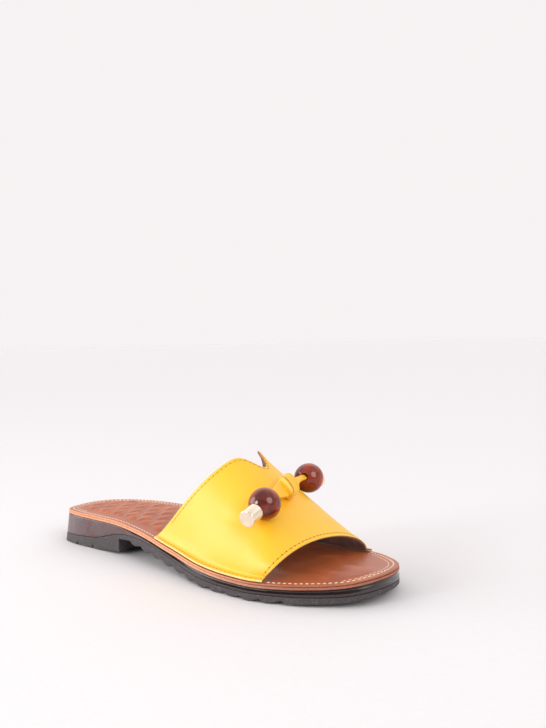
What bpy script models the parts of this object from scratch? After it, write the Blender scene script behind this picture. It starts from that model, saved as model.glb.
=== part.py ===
"""Women's flat slide sandal, right shoe: rubber outsole, glossy heel block and rand, insole board,
padded leather sock, one open vamp and a knotted leather tie that ends in two beads.

Metres. +X runs to the toe, +Y to the inner side of the foot, +Z up. The origin lies on the floor
under the middle of the heel seat. Shares run along the insole from 0 at the heel to 1 at the toe.
"""

import math
from collections import namedtuple

import bmesh
import bpy
from mathutils import Matrix, Vector

MM = 0.001

# Last: length, widths and heights of the insole's lower edge over the floor
INSOLE_LENGTH = 250 * MM
BALL_WIDTH = 87.7 * MM
HEEL_WIDTH = 60.6 * MM
HEEL_HEIGHT = 19.5 * MM
BALL_HEIGHT = 7.5 * MM
TOE_SPRING = 4.8 * MM
TOE_SHIFT = 3.1 * MM
HEEL_SEAT = 30 * MM

# Sole wall
WAIST_EXTRA = 1.25 * MM
WALL_LEAN = 1.6 * MM
OUTSOLE_EDGE = 0.7 * MM
GROOVE_DEPTH = 1.3 * MM
RAND_EDGE = 0.25 * MM

# Tread: cross lugs from the waist to the ball, cuts in the heel's top piece
LUG_PITCH = 11.8 * MM
LUG_DEPTH = 2.1 * MM
LUG_START = 80.8 * MM
LUG_COUNT = 12
BREAST = 67.3 * MM
BREAST_SLOPE = 0.4 * MM
HEEL_BEVEL_START = 45 * MM
HEEL_BEVEL = 2.0 * MM
HEEL_CUTS = (22.5 * MM, 38.8 * MM)
HEEL_CUT_WIDTH = 1.1 * MM
HEEL_CUT_DEPTH = 2.5 * MM
CUT_SLOPE = 0.15 * MM

# Insole
BOARD = 1.2 * MM
BOARD_INSET = 0.1 * MM
SOCK = 0.9 * MM
SOCK_INSET = 0.25 * MM
PAD_HEIGHT = 1.3 * MM
PAD_START = 8.5 * MM
PAD_TOP = 12.5 * MM

# Vamp
INSTEP_HEIGHT = 69.2 * MM
VAMP_WALL = 2.0 * MM
FLANGE_INSET = 0.5 * MM
FLANGE_WIDTH = 3.5 * MM
FLANGE_EDGE = 1.1 * MM
PINCH = 2.8 * MM
LOBE_BACK = 1.5 * MM
LOBE_RISE = 1.3 * MM

# Tie, beads and end caps
BEAD_RADIUS = 8.7 * MM
BEAD_HOLE = 2.2 * MM
CAP_RADIUS = 4.5 * MM
CAP_LENGTH = 9 * MM
CAP_EDGE = 0.5 * MM
SPIGOT_LENGTH = 3.5 * MM
KNOT_LENGTH = 9 * MM
KNOT_WIDTH = 14 * MM
KNOT_HEIGHT = 8.8 * MM
STRAP_WIDTH = 10.4 * MM
STRAP_NECK = 3.4 * MM
STRAP_THICKNESS = 2 * MM
STRAP_IN_BEAD = 3 * MM

# Clearance between pieces that touch
GAP = 0.3 * MM

# Half widths from heel to toe as shares of the local breadth; the rows lie evenly along a half
# circle seen from the side, so they crowd towards both ends
OutlineRow = namedtuple("OutlineRow", "along outer inner")
OUTLINE = [
    OutlineRow(0 / 12, 0.000, 0.000),
    OutlineRow(1 / 12, 0.314, 0.223),
    OutlineRow(2 / 12, 0.409, 0.382),
    OutlineRow(3 / 12, 0.447, 0.487),
    OutlineRow(4 / 12, 0.469, 0.516),
    OutlineRow(5 / 12, 0.467, 0.452),
    OutlineRow(6 / 12, 0.469, 0.400),
    OutlineRow(7 / 12, 0.502, 0.449),
    OutlineRow(8 / 12, 0.505, 0.495),
    OutlineRow(9 / 12, 0.430, 0.468),
    OutlineRow(10 / 12, 0.308, 0.356),
    OutlineRow(11 / 12, 0.187, 0.192),
    OutlineRow(12 / 12, 0.000, 0.000),
]

# Side of the sole. heel: share of the drop from heel to ball. toe: share of the toe spring.
# line: top of the outsole as a share of the insole's height. lean: share of WALL_LEAN, inwards
# and downwards. groove: share of the rand's height that is hollow
SideRow = namedtuple("SideRow", "along heel toe line lean groove")
SIDE = [
    SideRow(0.000, 0.950, 0.00, 0.300, -1.80, 0.00),
    SideRow(0.100, 0.975, 0.00, 0.345, -0.50, 0.00),
    SideRow(0.180, 0.995, 0.00, 0.430, 0.50, 0.00),
    SideRow(0.215, 1.000, 0.00, 0.540, 0.80, 0.00),
    SideRow(0.270, 0.983, 0.00, 0.715, 1.00, 0.00),
    SideRow(0.330, 0.883, 0.00, 0.815, 0.90, 0.22),
    SideRow(0.400, 0.717, 0.00, 0.850, 0.70, 0.32),
    SideRow(0.480, 0.454, 0.00, 0.810, 0.50, 0.46),
    SideRow(0.550, 0.267, 0.00, 0.680, 0.35, 0.56),
    SideRow(0.620, 0.125, 0.00, 0.550, 0.25, 0.60),
    SideRow(0.700, 0.020, 0.00, 0.530, 0.25, 0.60),
    SideRow(0.800, 0.000, 0.04, 0.580, 0.25, 0.60),
    SideRow(0.880, 0.000, 0.22, 0.575, 0.00, 0.60),
    SideRow(0.950, 0.000, 0.50, 0.590, 0.10, 0.60),
    SideRow(1.000, 0.000, 1.00, 0.640, 0.20, 0.60),
]

# One lug from its wall to the next wall: share of the pitch, share of the depth
LugRow = namedtuple("LugRow", "along depth")
LUG = [
    LugRow(0.00, 1.00),
    LugRow(0.06, 0.50),
    LugRow(0.14, 0.18),
    LugRow(0.26, 0.00),
    LugRow(0.46, 0.00),
]

# How deep the lugs are at each share of the length
LugDepthRow = namedtuple("LugDepthRow", "along depth")
LUG_DEPTHS = [
    LugDepthRow(0.30, 0.90),
    LugDepthRow(0.55, 1.00),
    LugDepthRow(0.66, 0.75),
    LugDepthRow(0.76, 0.75),
    LugDepthRow(0.86, 0.75),
]

# Sections of the vamp from its rear edge to its front edge. outer, inner: where its two feet stand,
# as shares of the insole length. crest: where its top lies along the length. across: the top's
# place as a share of the ball width. height: share of the instep height. fullness: low is boxy,
# high is pointed. sweep: how soon the section leans towards the crest
VampRow = namedtuple("VampRow", "along outer inner crest across height fullness sweep")
VAMP = [
    VampRow(0.00, 0.430, 0.493, 0.618, 0.029, 1.000, 0.55, 0.50),
    VampRow(0.50, 0.616, 0.672, 0.725, -0.040, 0.749, 0.88, 0.62),
    VampRow(1.00, 0.802, 0.851, 0.838, -0.108, 0.384, 1.00, 0.74),
]

# The notch in the middle of the vamp's rear edge: its place and width round the vamp, and how far
# it reaches to the front edge
NotchRow = namedtuple("NotchRow", "round width reach")
NOTCH = NotchRow(0.492, 0.098, 0.25)

# Bends of the vamp's inner half: place and width round the vamp, where along it the bend starts to
# fade and ends, and the shares of LOBE_BACK, PINCH and LOBE_RISE
BendRow = namedtuple("BendRow", "round width hold end back pinch rise")
BENDS = [
    BendRow(0.68, 0.130, 0.35, 0.95, 0.0, 1.0, 0.0),
    BendRow(0.60, 0.045, 0.00, 0.30, 1.0, 0.0, 1.0),
]

# Where the knot and the beads sit on the vamp: share from rear to front edge, share from the outer
# foot over the crest to the inner foot, and how far the bead's axis droops
SeatRow = namedtuple("SeatRow", "along round droop")
KNOT_SEAT = SeatRow(0.417, 0.497, 0.0)
OUTER_BEAD_SEAT = SeatRow(0.642, 0.321, 0.05)
INNER_BEAD_SEAT = SeatRow(0.430, 0.739, 0.20)

OUTER, INNER = -1, 1
HEEL_TO_TOE = 24
LEAST_STATION = 0.005
STATION_DIGITS = 6
VAMP_ACROSS = 30
VAMP_ALONG = 14
TURNED_STEPS = 28


def clear_scene():
    for item in list(bpy.data.objects):
        bpy.data.objects.remove(item, do_unlink=True)


def new_collection(name):
    collection = bpy.data.collections.new(name)
    bpy.context.scene.collection.children.link(collection)
    return collection


def new_material(name, hex_color, roughness, metallic=0.0):
    material = bpy.data.materials.new(name)
    material.use_nodes = True
    shader = material.node_tree.nodes["Principled BSDF"]
    channels = [int(hex_color[i : i + 2], 16) / 255 for i in (0, 2, 4)]
    linear = [c / 12.92 if c <= 0.04045 else ((c + 0.055) / 1.055) ** 2.4 for c in channels]
    shader.inputs["Base Color"].default_value = (*linear, 1)
    shader.inputs["Roughness"].default_value = roughness
    shader.inputs["Metallic"].default_value = metallic
    material.diffuse_color = (*linear, 1)
    return material


def new_object(name, points, faces, material, collection):
    """Mesh object whose faces all turn outwards."""
    mesh = bpy.data.meshes.new(name)
    mesh.from_pydata([tuple(point) for point in points], [], faces)
    body = bmesh.new()
    body.from_mesh(mesh)
    bmesh.ops.remove_doubles(body, verts=body.verts, dist=1e-6)
    bmesh.ops.recalc_face_normals(body, faces=body.faces)
    body.to_mesh(mesh)
    body.free()
    mesh.materials.append(material)
    item = bpy.data.objects.new(name, mesh)
    collection.objects.link(item)
    return item


def shade_round(item, sharp_angle):
    item.data.shade_smooth()
    item.data.set_sharp_from_angle(angle=math.radians(sharp_angle))


def mix(first, second, share):
    return first + (second - first) * share


def ease(value):
    share = min(1.0, max(0.0, value))
    return share * share * (3 - 2 * share)


def smooth(rows, field, along):
    """Value of one column between its rows, as a soft curve that never overshoots a row."""
    places = [row.along for row in rows]
    values = [getattr(row, field) for row in rows]
    along = min(places[-1], max(places[0], along))
    last = len(rows) - 2
    i = next((k for k in range(last) if along < places[k + 1]), last)
    rises = [
        (values[k + 1] - values[k]) / (places[k + 1] - places[k]) for k in range(last + 1)
    ]

    def slope(k):
        if k in (0, last + 1):
            return rises[min(k, last)]
        before, after = rises[k - 1], rises[k]
        if before * after <= 0:
            return 0.0
        limit = 3 * min(abs(before), abs(after))
        mean = (before + after) / 2
        return math.copysign(min(abs(mean), limit), mean)

    width = places[i + 1] - places[i]
    s = (along - places[i]) / width
    return (
        (2 * s**3 - 3 * s**2 + 1) * values[i]
        + (s**3 - 2 * s**2 + s) * width * slope(i)
        + (3 * s**2 - 2 * s**3) * values[i + 1]
        + (s**3 - s**2) * width * slope(i + 1)
    )


def turn_at(share):
    """Place on the half circle of a share of the length, both 0 at the heel and 1 at the toe."""
    return math.acos(1 - 2 * min(1.0, max(0.0, share))) / math.pi


def share_at(turn):
    return (1 - math.cos(math.pi * turn)) / 2


def rim(turn, side):
    """Point of the insole's outline in plan."""
    share = share_at(turn)
    breadth = mix(HEEL_WIDTH, BALL_WIDTH, ease((share - 0.2) / 0.5))
    half = breadth * smooth(OUTLINE, "outer" if side == OUTER else "inner", turn)
    return Vector((share * INSOLE_LENGTH - HEEL_SEAT, side * half - TOE_SHIFT * share**2))


def rim_inset(turn, side, inset):
    """The same point moved inwards, square to the outline."""
    point = rim(turn, side)
    if turn <= 0 or turn >= 1:
        return point + Vector((inset if turn <= 0 else -inset, 0))
    step = 0.004
    run = rim(min(1, turn + step), side) - rim(max(0, turn - step), side)
    inwards = Vector((run.y, -run.x)) * side
    return point + inwards.normalized() * inset


def insole_height(share):
    drop = smooth(SIDE, "heel", share) * (HEEL_HEIGHT - BALL_HEIGHT)
    return BALL_HEIGHT + drop + smooth(SIDE, "toe", share) * TOE_SPRING


def outsole_top(share):
    return insole_height(share) * smooth(SIDE, "line", share)


def ground_line(share):
    """Height of the lugs' lowest corners: on the floor at the ball, over it at waist and toe."""
    drop = smooth(SIDE, "heel", share) * (HEEL_HEIGHT - BALL_HEIGHT)
    return max(0.0, drop - WAIST_EXTRA) + smooth(SIDE, "toe", share) * TOE_SPRING


def tread_stations():
    """Places along the length where the underside changes, with its height at each."""
    stations = [(0.0, 0.0)]
    for middle in HEEL_CUTS:
        left = middle - HEEL_CUT_WIDTH / 2
        right = middle + HEEL_CUT_WIDTH / 2
        stations += [(left - CUT_SLOPE, 0.0), (left, HEEL_CUT_DEPTH)]
        stations += [(right, HEEL_CUT_DEPTH), (right + CUT_SLOPE, 0.0)]
    stations += [(HEEL_BEVEL_START, 0.0), (BREAST, HEEL_BEVEL)]
    waist = ground_line((BREAST + BREAST_SLOPE) / INSOLE_LENGTH)
    stations.append((BREAST + BREAST_SLOPE, waist))
    for number in range(LUG_COUNT):
        for row in LUG:
            place = LUG_START + (number + row.along) * LUG_PITCH
            share = place / INSOLE_LENGTH
            depth = LUG_DEPTH * smooth(LUG_DEPTHS, "depth", share) * row.depth
            stations.append((place, ground_line(share) + depth))
    lug_end = LUG_START + LUG_COUNT * LUG_PITCH
    for step in range(9):
        share = mix(lug_end / INSOLE_LENGTH, 1, math.sin(step / 8 * math.pi / 2))
        stations.append((share * INSOLE_LENGTH, ground_line(share)))
    return stations


def tread_height(share, stations):
    place = share * INSOLE_LENGTH
    for (x0, z0), (x1, z1) in zip(stations, stations[1:]):
        if place <= x1:
            return mix(z0, z1, (place - x0) / (x1 - x0))
    return stations[-1][1]


def wall_inset(share, height):
    """How far the sole's wall lies inside the insole's outline at a height."""
    return WALL_LEAN * smooth(SIDE, "lean", share) * (1 - height / insole_height(share))


def loft(name, shares, levels, material, collection):
    """Solid of closed outlines one above the other; each level gives inset and height at a share."""
    turns = [turn_at(share) for share in shares]
    count = 2 * len(turns)
    points = []
    for level in levels:
        ends = []
        for side in (OUTER, INNER):
            row = []
            for share, turn in zip(shares, turns):
                inset, height = level(share)
                place = rim_inset(turn, side, inset)
                row.append((place.x, place.y, height))
            ends.append(row)
        points += ends[0] + ends[1][::-1]
    faces = []
    for level in range(len(levels) - 1):
        low = level * count
        for i in range(count):
            j = (i + 1) % count
            faces.append((low + i, low + j, low + count + j, low + count + i))
    top = (len(levels) - 1) * count
    for i in range(len(turns) - 1):
        a, b = i, i + 1
        c, d = count - 1 - b, count - 1 - a
        faces.append((a, d, c, b))
        faces.append((top + a, top + b, top + c, top + d))
    return new_object(name, points, faces, material, collection)


def even_shares(count):
    return [share_at(i / count) for i in range(count + 1)]


def make_outsole(material, collection):
    stations = tread_stations()
    places = {round(x / INSOLE_LENGTH, STATION_DIGITS) for x, _ in stations} | {0.0, 1.0}
    for share in even_shares(2 * HEEL_TO_TOE):
        near = LEAST_STATION * max(0.2, math.sin(math.pi * turn_at(share)))
        if all(abs(share - other) > near for other in places):
            places.add(round(share, STATION_DIGITS))

    def at_tread(share):
        height = tread_height(share, stations)
        return wall_inset(share, height) + OUTSOLE_EDGE, height

    def over_edge(share):
        height = tread_height(share, stations) + OUTSOLE_EDGE
        return wall_inset(share, height), height

    def at_line(share):
        height = outsole_top(share) - GAP
        return wall_inset(share, height), height

    return loft("outsole", sorted(places), [at_tread, over_edge, at_line], material, collection)


def make_midsole(material, collection):
    def level(place_in_wall, depth):
        def at(share):
            low, high = outsole_top(share), insole_height(share) - GAP
            groove = max(0.04, smooth(SIDE, "groove", share))
            rise = place_in_wall(groove)
            height = mix(low, high, rise)
            hollow = depth * GROOVE_DEPTH * ease(groove / 0.3) if depth else 0.0
            return wall_inset(share, height) + hollow, height

        return at

    def rounded(share_in_wall):
        def at(share):
            low, high = outsole_top(share), insole_height(share) - GAP
            height = mix(low, high, share_in_wall)
            return wall_inset(share, height) + RAND_EDGE, height

        return at

    levels = [
        rounded(0.0),
        level(lambda groove: 0.25 * (1 - groove), 0),
        level(lambda groove: 1 - 1.05 * groove, 0),
        level(lambda groove: 1 - 0.80 * groove, 0.6),
        level(lambda groove: 1 - 0.50 * groove, 1.0),
        level(lambda groove: 1 - 0.20 * groove, 0.8),
        rounded(1.0),
    ]
    return loft("midsole", even_shares(2 * HEEL_TO_TOE), levels, material, collection)


def board_top(share):
    return insole_height(share) + BOARD


def sock_top(share):
    return board_top(share) + GAP + SOCK


def make_insole_board(material, collection):
    levels = [
        lambda share: (BOARD_INSET, insole_height(share)),
        lambda share: (0.0, insole_height(share) + BOARD / 2),
        lambda share: (BOARD_INSET, board_top(share)),
    ]
    return loft("insole_board", even_shares(2 * HEEL_TO_TOE), levels, material, collection)


def make_insole(material, collection):
    levels = [
        lambda share: (SOCK_INSET, board_top(share) + GAP),
        lambda share: (SOCK_INSET / 2, board_top(share) + GAP + SOCK / 2),
        lambda share: (2 * SOCK_INSET, sock_top(share)),
        lambda share: (PAD_START, sock_top(share)),
        lambda share: (mix(PAD_START, PAD_TOP, 0.5), sock_top(share) + PAD_HEIGHT * 0.65),
        lambda share: (PAD_TOP, sock_top(share) + PAD_HEIGHT),
    ]
    return loft("insole", even_shares(2 * HEEL_TO_TOE), levels, material, collection)


def foot_of_vamp(share, side, inset):
    """Point on top of the vamp's flange."""
    place = rim_inset(turn_at(share), side, inset)
    return Vector((place.x, place.y, sock_top(share) + GAP + VAMP_WALL))


def vamp_point(along, round_share):
    """Outer surface of the vamp: along from rear to front edge, round from outer to inner foot."""
    swing = math.pi * round_share
    notch = NOTCH.reach * math.exp(-1.6 * ((round_share - NOTCH.round) / NOTCH.width) ** 2)
    row = notch + (1 - notch) * along
    fold = FLANGE_INSET + FLANGE_WIDTH
    outer = foot_of_vamp(smooth(VAMP, "outer", row), OUTER, fold)
    inner = foot_of_vamp(smooth(VAMP, "inner", row), INNER, fold)
    lift = min(1.0, max(1e-6, math.sin(swing)))
    base = outer.lerp(inner, (1 - math.cos(swing)) / 2)
    crest_x = smooth(VAMP, "crest", row) * INSOLE_LENGTH - HEEL_SEAT
    crest_y = smooth(VAMP, "across", row) * BALL_WIDTH
    crest_z = smooth(VAMP, "height", row) * INSTEP_HEIGHT
    x = mix(base.x, crest_x, lift ** smooth(VAMP, "sweep", row))
    y = base.y + (crest_y - (outer.y + inner.y) / 2) * lift**2
    z = mix(base.z, crest_z, lift ** smooth(VAMP, "fullness", row))
    for bend in BENDS:
        share = math.exp(-(((round_share - bend.round) / bend.width) ** 2))
        share *= 1 - ease((along - bend.hold) / (bend.end - bend.hold))
        x -= LOBE_BACK * bend.back * share
        y -= PINCH * bend.pinch * share
        z += LOBE_RISE * bend.rise * share
    return Vector((x, y, z))


def vamp_normal(along, round_share):
    step = 0.01
    low, high = max(0.0, round_share - step), min(1.0, round_share + step)
    back, front = max(0.0, along - step), min(1.0, along + step)
    across = vamp_point(along, high) - vamp_point(along, low)
    forward = vamp_point(front, round_share) - vamp_point(back, round_share)
    return forward.cross(across).normalized()


def flange_edge(along, side):
    share = smooth(VAMP, "outer" if side == OUTER else "inner", along)
    return foot_of_vamp(share, side, FLANGE_INSET)


def make_vamp(material, collection):
    """One wall: two flat flanges, skived at their edges, and the arch between them, open at both
    ends."""
    up = Vector((0, 0, 1))
    skived = up * (VAMP_WALL - FLANGE_EDGE)
    outside, inside = [], []
    for i in range(VAMP_ALONG + 1):
        along = i / VAMP_ALONG
        row = [(flange_edge(along, OUTER), up)]
        for j in range(VAMP_ACROSS + 1):
            round_share = j / VAMP_ACROSS
            normal = vamp_normal(along, round_share)
            if j in (0, VAMP_ACROSS):
                normal = (normal + up) / (1 + normal.dot(up))
            row.append((vamp_point(along, round_share), normal))
        row.append((flange_edge(along, INNER), up))
        inside += [point - normal * VAMP_WALL for point, normal in row]
        edges = [row[0][0] - skived, row[-1][0] - skived]
        outside += edges[:1] + [point for point, _ in row[1:-1]] + edges[1:]
    width = VAMP_ACROSS + 3
    under = len(outside)
    faces = []
    for i in range(VAMP_ALONG):
        for j in range(width - 1):
            a = i * width + j
            b, c, d = a + 1, a + width + 1, a + width
            faces.append((a, b, c, d))
            faces.append((under + d, under + c, under + b, under + a))
    for first in (0, VAMP_ALONG * width):
        for j in range(first, first + width - 1):
            faces.append((j, j + 1, under + j + 1, under + j))
    for first in (0, width - 1):
        for i in range(VAMP_ALONG):
            a = first + i * width
            faces.append((a, a + width, under + a + width, under + a))
    return new_object("upper", outside + inside, faces, material, collection)


def seat(row, height):
    """Point over the vamp at a seat, and the direction away from the leather there."""
    normal = vamp_normal(row.along, row.round)
    return vamp_point(row.along, row.round) + normal * height, normal


def turned(name, profile, material, collection, place, axis):
    """Solid of revolution: profile as (radius, height) down its outer side, axis along +Z."""
    mesh = bpy.data.meshes.new(name)
    points = [(radius, 0, height) for radius, height in profile]
    closed = profile[0] == profile[-1]
    count = len(points) - 1 if closed else len(points)
    edges = [(i, (i + 1) % count) for i in range(count if closed else count - 1)]
    mesh.from_pydata(points[:count], edges, [])
    mesh.materials.append(material)
    item = bpy.data.objects.new(name, mesh)
    collection.objects.link(item)
    screw = item.modifiers.new("turn", "SCREW")
    screw.axis = "Z"
    screw.steps = TURNED_STEPS
    screw.render_steps = TURNED_STEPS
    screw.use_merge_vertices = True
    screw.merge_threshold = 0.01 * MM
    screw.use_smooth_shade = True
    item.location = place
    item.rotation_mode = "QUATERNION"
    item.rotation_quaternion = axis.to_track_quat("Z", "Y")
    return item


def bead_profile():
    """Ball with a hole through it; the hole's ends are cut square."""
    half = math.sqrt(BEAD_RADIUS**2 - BEAD_HOLE**2)
    steps = 12
    start = math.atan2(BEAD_HOLE, half)
    profile = []
    for i in range(steps + 1):
        angle = mix(start, math.pi - start, i / steps)
        profile.append((BEAD_RADIUS * math.sin(angle), BEAD_RADIUS * math.cos(angle)))
    profile.append(profile[0])
    return profile


def cap_profile():
    """Closed end cap with rounded edges and a spigot that enters the bead's hole."""
    spigot = BEAD_HOLE - GAP
    return [
        (0, CAP_LENGTH),
        (CAP_RADIUS - CAP_EDGE, CAP_LENGTH),
        (CAP_RADIUS - 0.3 * CAP_EDGE, CAP_LENGTH - 0.3 * CAP_EDGE),
        (CAP_RADIUS, CAP_LENGTH - CAP_EDGE),
        (CAP_RADIUS, CAP_EDGE),
        (CAP_RADIUS - CAP_EDGE, 0),
        (spigot, 0),
        (spigot, -SPIGOT_LENGTH),
        (0, -SPIGOT_LENGTH),
    ]


def cap_foot():
    """Distance from a bead's middle to the end cap that rests on the rim of its hole."""
    return math.sqrt(BEAD_RADIUS**2 - BEAD_HOLE**2) + GAP


def superellipse(width, height, power, angle):
    """Point of a rounded rectangle."""
    c, s = math.cos(angle), math.sin(angle)
    x = math.copysign(abs(c) ** (2 / power), c) * width / 2
    y = math.copysign(abs(s) ** (2 / power), s) * height / 2
    return x, y


def tube_of_sections(name, sections, material, collection, around=16):
    """Solid through rounded rectangles: each section gives middle, across, up, width, height, power."""
    points = []
    for middle, across, up, width, height, power in sections:
        for i in range(around):
            x, y = superellipse(width, height, power, 2 * math.pi * (i + 0.5) / around)
            points.append(middle + across * x + up * y)
    faces = []
    for k in range(len(sections) - 1):
        for i in range(around):
            j = (i + 1) % around
            a, b = k * around, (k + 1) * around
            faces.append((a + i, a + j, b + j, b + i))
    last = (len(sections) - 1) * around
    faces.append(tuple(range(around)))
    faces.append(tuple(range(last + around - 1, last - 1, -1)))
    return new_object(name, points, faces, material, collection)


# The strap between knot and bead: place from bead to knot, widths of the outer and the inner strap
# as shares from neck to full width, thickness as a share
StrapRow = namedtuple("StrapRow", "along outer inner thickness")
STRAP = [
    StrapRow(0.00, 0.00, 0.00, 1.00),
    StrapRow(0.22, 0.00, 0.00, 1.00),
    StrapRow(0.38, 0.25, 0.00, 1.10),
    StrapRow(0.65, 0.80, 0.10, 1.10),
    StrapRow(0.85, 1.00, 0.70, 0.90),
    StrapRow(1.00, 1.00, 1.00, 0.90),
]


def strap_sections(word, bead, axis, knot, up):
    """Sections from inside the bead's hole to the middle of the knot."""
    start = bead - axis * (BEAD_RADIUS - STRAP_IN_BEAD)
    leave = bead - axis * (BEAD_RADIUS + STRAP_IN_BEAD)
    sections = []
    for row in STRAP:
        s = row.along
        middle = start * (1 - s) ** 2 + leave * 2 * s * (1 - s) + knot * s**2
        run = (leave - start) * (1 - s) + (knot - leave) * s
        run.normalize()
        across = run.cross(up).normalized()
        width = mix(STRAP_NECK, STRAP_WIDTH, getattr(row, word))
        thickness = STRAP_THICKNESS * row.thickness
        sections.append((middle, across, across.cross(run), width, thickness, 3.0))
    return sections


# The band that wraps the knot: place along the knot, its width and height as shares
KnotRow = namedtuple("KnotRow", "along width height")
KNOT = [
    KnotRow(-0.50, 0.72, 0.62),
    KnotRow(-0.46, 0.90, 0.84),
    KnotRow(-0.20, 1.00, 0.98),
    KnotRow(0.10, 1.00, 1.00),
    KnotRow(0.42, 0.94, 0.90),
    KnotRow(0.50, 0.74, 0.64),
]
KNOT_SLANT = math.radians(-22)


def knot_sections(knot, run, up):
    across = run.cross(up).normalized()
    slant = Matrix.Rotation(KNOT_SLANT, 3, up)
    sections = []
    for row in KNOT:
        middle = knot + run * (row.along * KNOT_LENGTH)
        width, height = KNOT_WIDTH * row.width, KNOT_HEIGHT * row.height
        sections.append((middle, slant @ across, up, width, height, 2.6))
    return sections


def join(item, other):
    """Boolean union; the other object is kept as a hidden helper."""
    union = item.modifiers.new("join_" + other.name, "BOOLEAN")
    union.operation = "UNION"
    union.object = other
    other.hide_render = True
    other.display_type = "WIRE"


def make_tie_and_beads(tie_material, bead_material, cap_material, collection, helpers):
    knot, up = seat(KNOT_SEAT, KNOT_HEIGHT / 2 + GAP)
    ends = []
    for word, row in (("outer", OUTER_BEAD_SEAT), ("inner", INNER_BEAD_SEAT)):
        bead, _ = seat(row, BEAD_RADIUS + GAP)
        axis = ((bead - knot).normalized() - Vector((0, 0, row.droop))).normalized()
        turned("bead_" + word, bead_profile(), bead_material, collection, bead, axis)
        foot = bead + axis * cap_foot()
        turned("ferrule_" + word, cap_profile(), cap_material, collection, foot, axis)
        ends.append((word, bead, axis))
    run = (ends[1][1] - ends[0][1]).normalized()
    run = (run - up * run.dot(up)).normalized()
    tie = tube_of_sections("tie", knot_sections(knot, run, up), tie_material, collection)
    for word, bead, axis in ends:
        sections = strap_sections(word, bead, axis, knot, up)
        strap = tube_of_sections("strap_" + word, sections, tie_material, helpers)
        join(tie, strap)
    return tie


def main():
    clear_scene()
    parts = new_collection("slide_sandal")
    helpers = new_collection("helpers")
    rubber = new_material("matte_rubber", "3A3636", 0.75)
    tortoise = new_material("glossy_tortoiseshell", "3B1A12", 0.15)
    board = new_material("tan_insole_board", "E39A6B", 0.6)
    cognac = new_material("cognac_leather", "B8643F", 0.5)
    yellow = new_material("yellow_leather", "FFD92E", 0.4)
    resin = new_material("brown_resin", "5A1E12", 0.08)
    gold = new_material("pale_gold", "E9CFA8", 0.2, metallic=1.0)
    make_outsole(rubber, parts)
    make_midsole(tortoise, parts)
    make_insole_board(board, parts)
    make_insole(cognac, parts)
    make_vamp(yellow, parts)
    make_tie_and_beads(yellow, resin, gold, parts, helpers)
    for item in parts.objects:
        if item.type == "MESH" and not item.modifiers:
            shade_round(item, 35)


main()
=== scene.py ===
"""Looks of a women's slide sandal, right shoe: yellow leather vamp with a knotted tie and two
tortoise beads, cognac quilted sock, tan insole edge, glossy heel block and rand, rubber outsole.

Metres. +X runs to the toe, +Y to the inner side of the foot, +Z up. The origin lies on the floor
under the middle of the heel seat. Shares run along the insole from 0 at the heel to 1 at the toe.
"""

import math
from collections import namedtuple

import bmesh
import bpy
import numpy as np
from mathutils import Matrix


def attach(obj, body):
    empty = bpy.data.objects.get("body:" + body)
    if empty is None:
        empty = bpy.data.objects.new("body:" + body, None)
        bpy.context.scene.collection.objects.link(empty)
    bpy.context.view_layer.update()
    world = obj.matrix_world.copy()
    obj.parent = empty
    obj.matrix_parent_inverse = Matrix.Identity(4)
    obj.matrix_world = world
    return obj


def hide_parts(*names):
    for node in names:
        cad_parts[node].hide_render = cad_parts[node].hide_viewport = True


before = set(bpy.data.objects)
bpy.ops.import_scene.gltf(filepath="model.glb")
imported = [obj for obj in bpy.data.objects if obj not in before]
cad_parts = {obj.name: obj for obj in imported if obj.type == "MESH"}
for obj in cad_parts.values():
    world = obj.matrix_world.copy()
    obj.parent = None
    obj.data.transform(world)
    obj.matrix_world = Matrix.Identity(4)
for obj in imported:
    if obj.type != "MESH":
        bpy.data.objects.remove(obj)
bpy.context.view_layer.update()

MM = 0.001
OUTER, INNER = -1, 1

# Camera of the photo: place, then its right, up and backward directions
CAMERA_PLACE = (0.436364, -0.343789, 0.132730)
CAMERA_RIGHT = (0.762123, 0.646995, -0.023794)
CAMERA_UP = (-0.000885, 0.037792, 0.999285)
CAMERA_BACK = (0.647431, -0.761557, 0.029375)
CAMERA_LENS = 39.575

# Studio: where the lights aim, how bright the backdrop is, the way it turns brighter, between
# which cosines to that way it does so, and its dimmest share
AIM = (0.1, 0.0, 0.03)
BACKDROP = 0.925
BRIGHTER_WAY = (-0.35, 0.41, -0.84)
BRIGHTER_FROM, BRIGHTER_TO = -0.9, 0.1
DIMMEST = 0.38

# Foot form
INSOLE_LENGTH = 250 * MM
BALL_WIDTH = 87.7 * MM
HEEL_WIDTH = 60.6 * MM
HEEL_HEIGHT = 19.5 * MM
BALL_HEIGHT = 7.5 * MM
TOE_SPRING = 4.8 * MM
TOE_SHIFT = 3.1 * MM
HEEL_SEAT = 30 * MM

# Sole wall
WAIST_EXTRA = 1.25 * MM
WALL_LEAN = 1.6 * MM
OUTSOLE_EDGE = 0.7 * MM
OUTSOLE_LIP = 0.08 * MM
GROOVE_DEPTH = 1.3 * MM
RAND_EDGE = 0.25 * MM

# Tread
LUG_PITCH = 11.8 * MM
LUG_DEPTH = 2.1 * MM
LUG_START = 80.8 * MM
LUG_COUNT = 12
BREAST = 67.3 * MM
BREAST_SLOPE = 0.4 * MM
HEEL_BEVEL_START = 45 * MM
HEEL_BEVEL = 2.0 * MM
HEEL_CUTS = (22.5 * MM, 38.8 * MM)
HEEL_CUT_WIDTH = 1.1 * MM
HEEL_CUT_DEPTH = 2.5 * MM
CUT_SLOPE = 0.15 * MM
LUG_ROUNDING = 0.25 * MM

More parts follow.
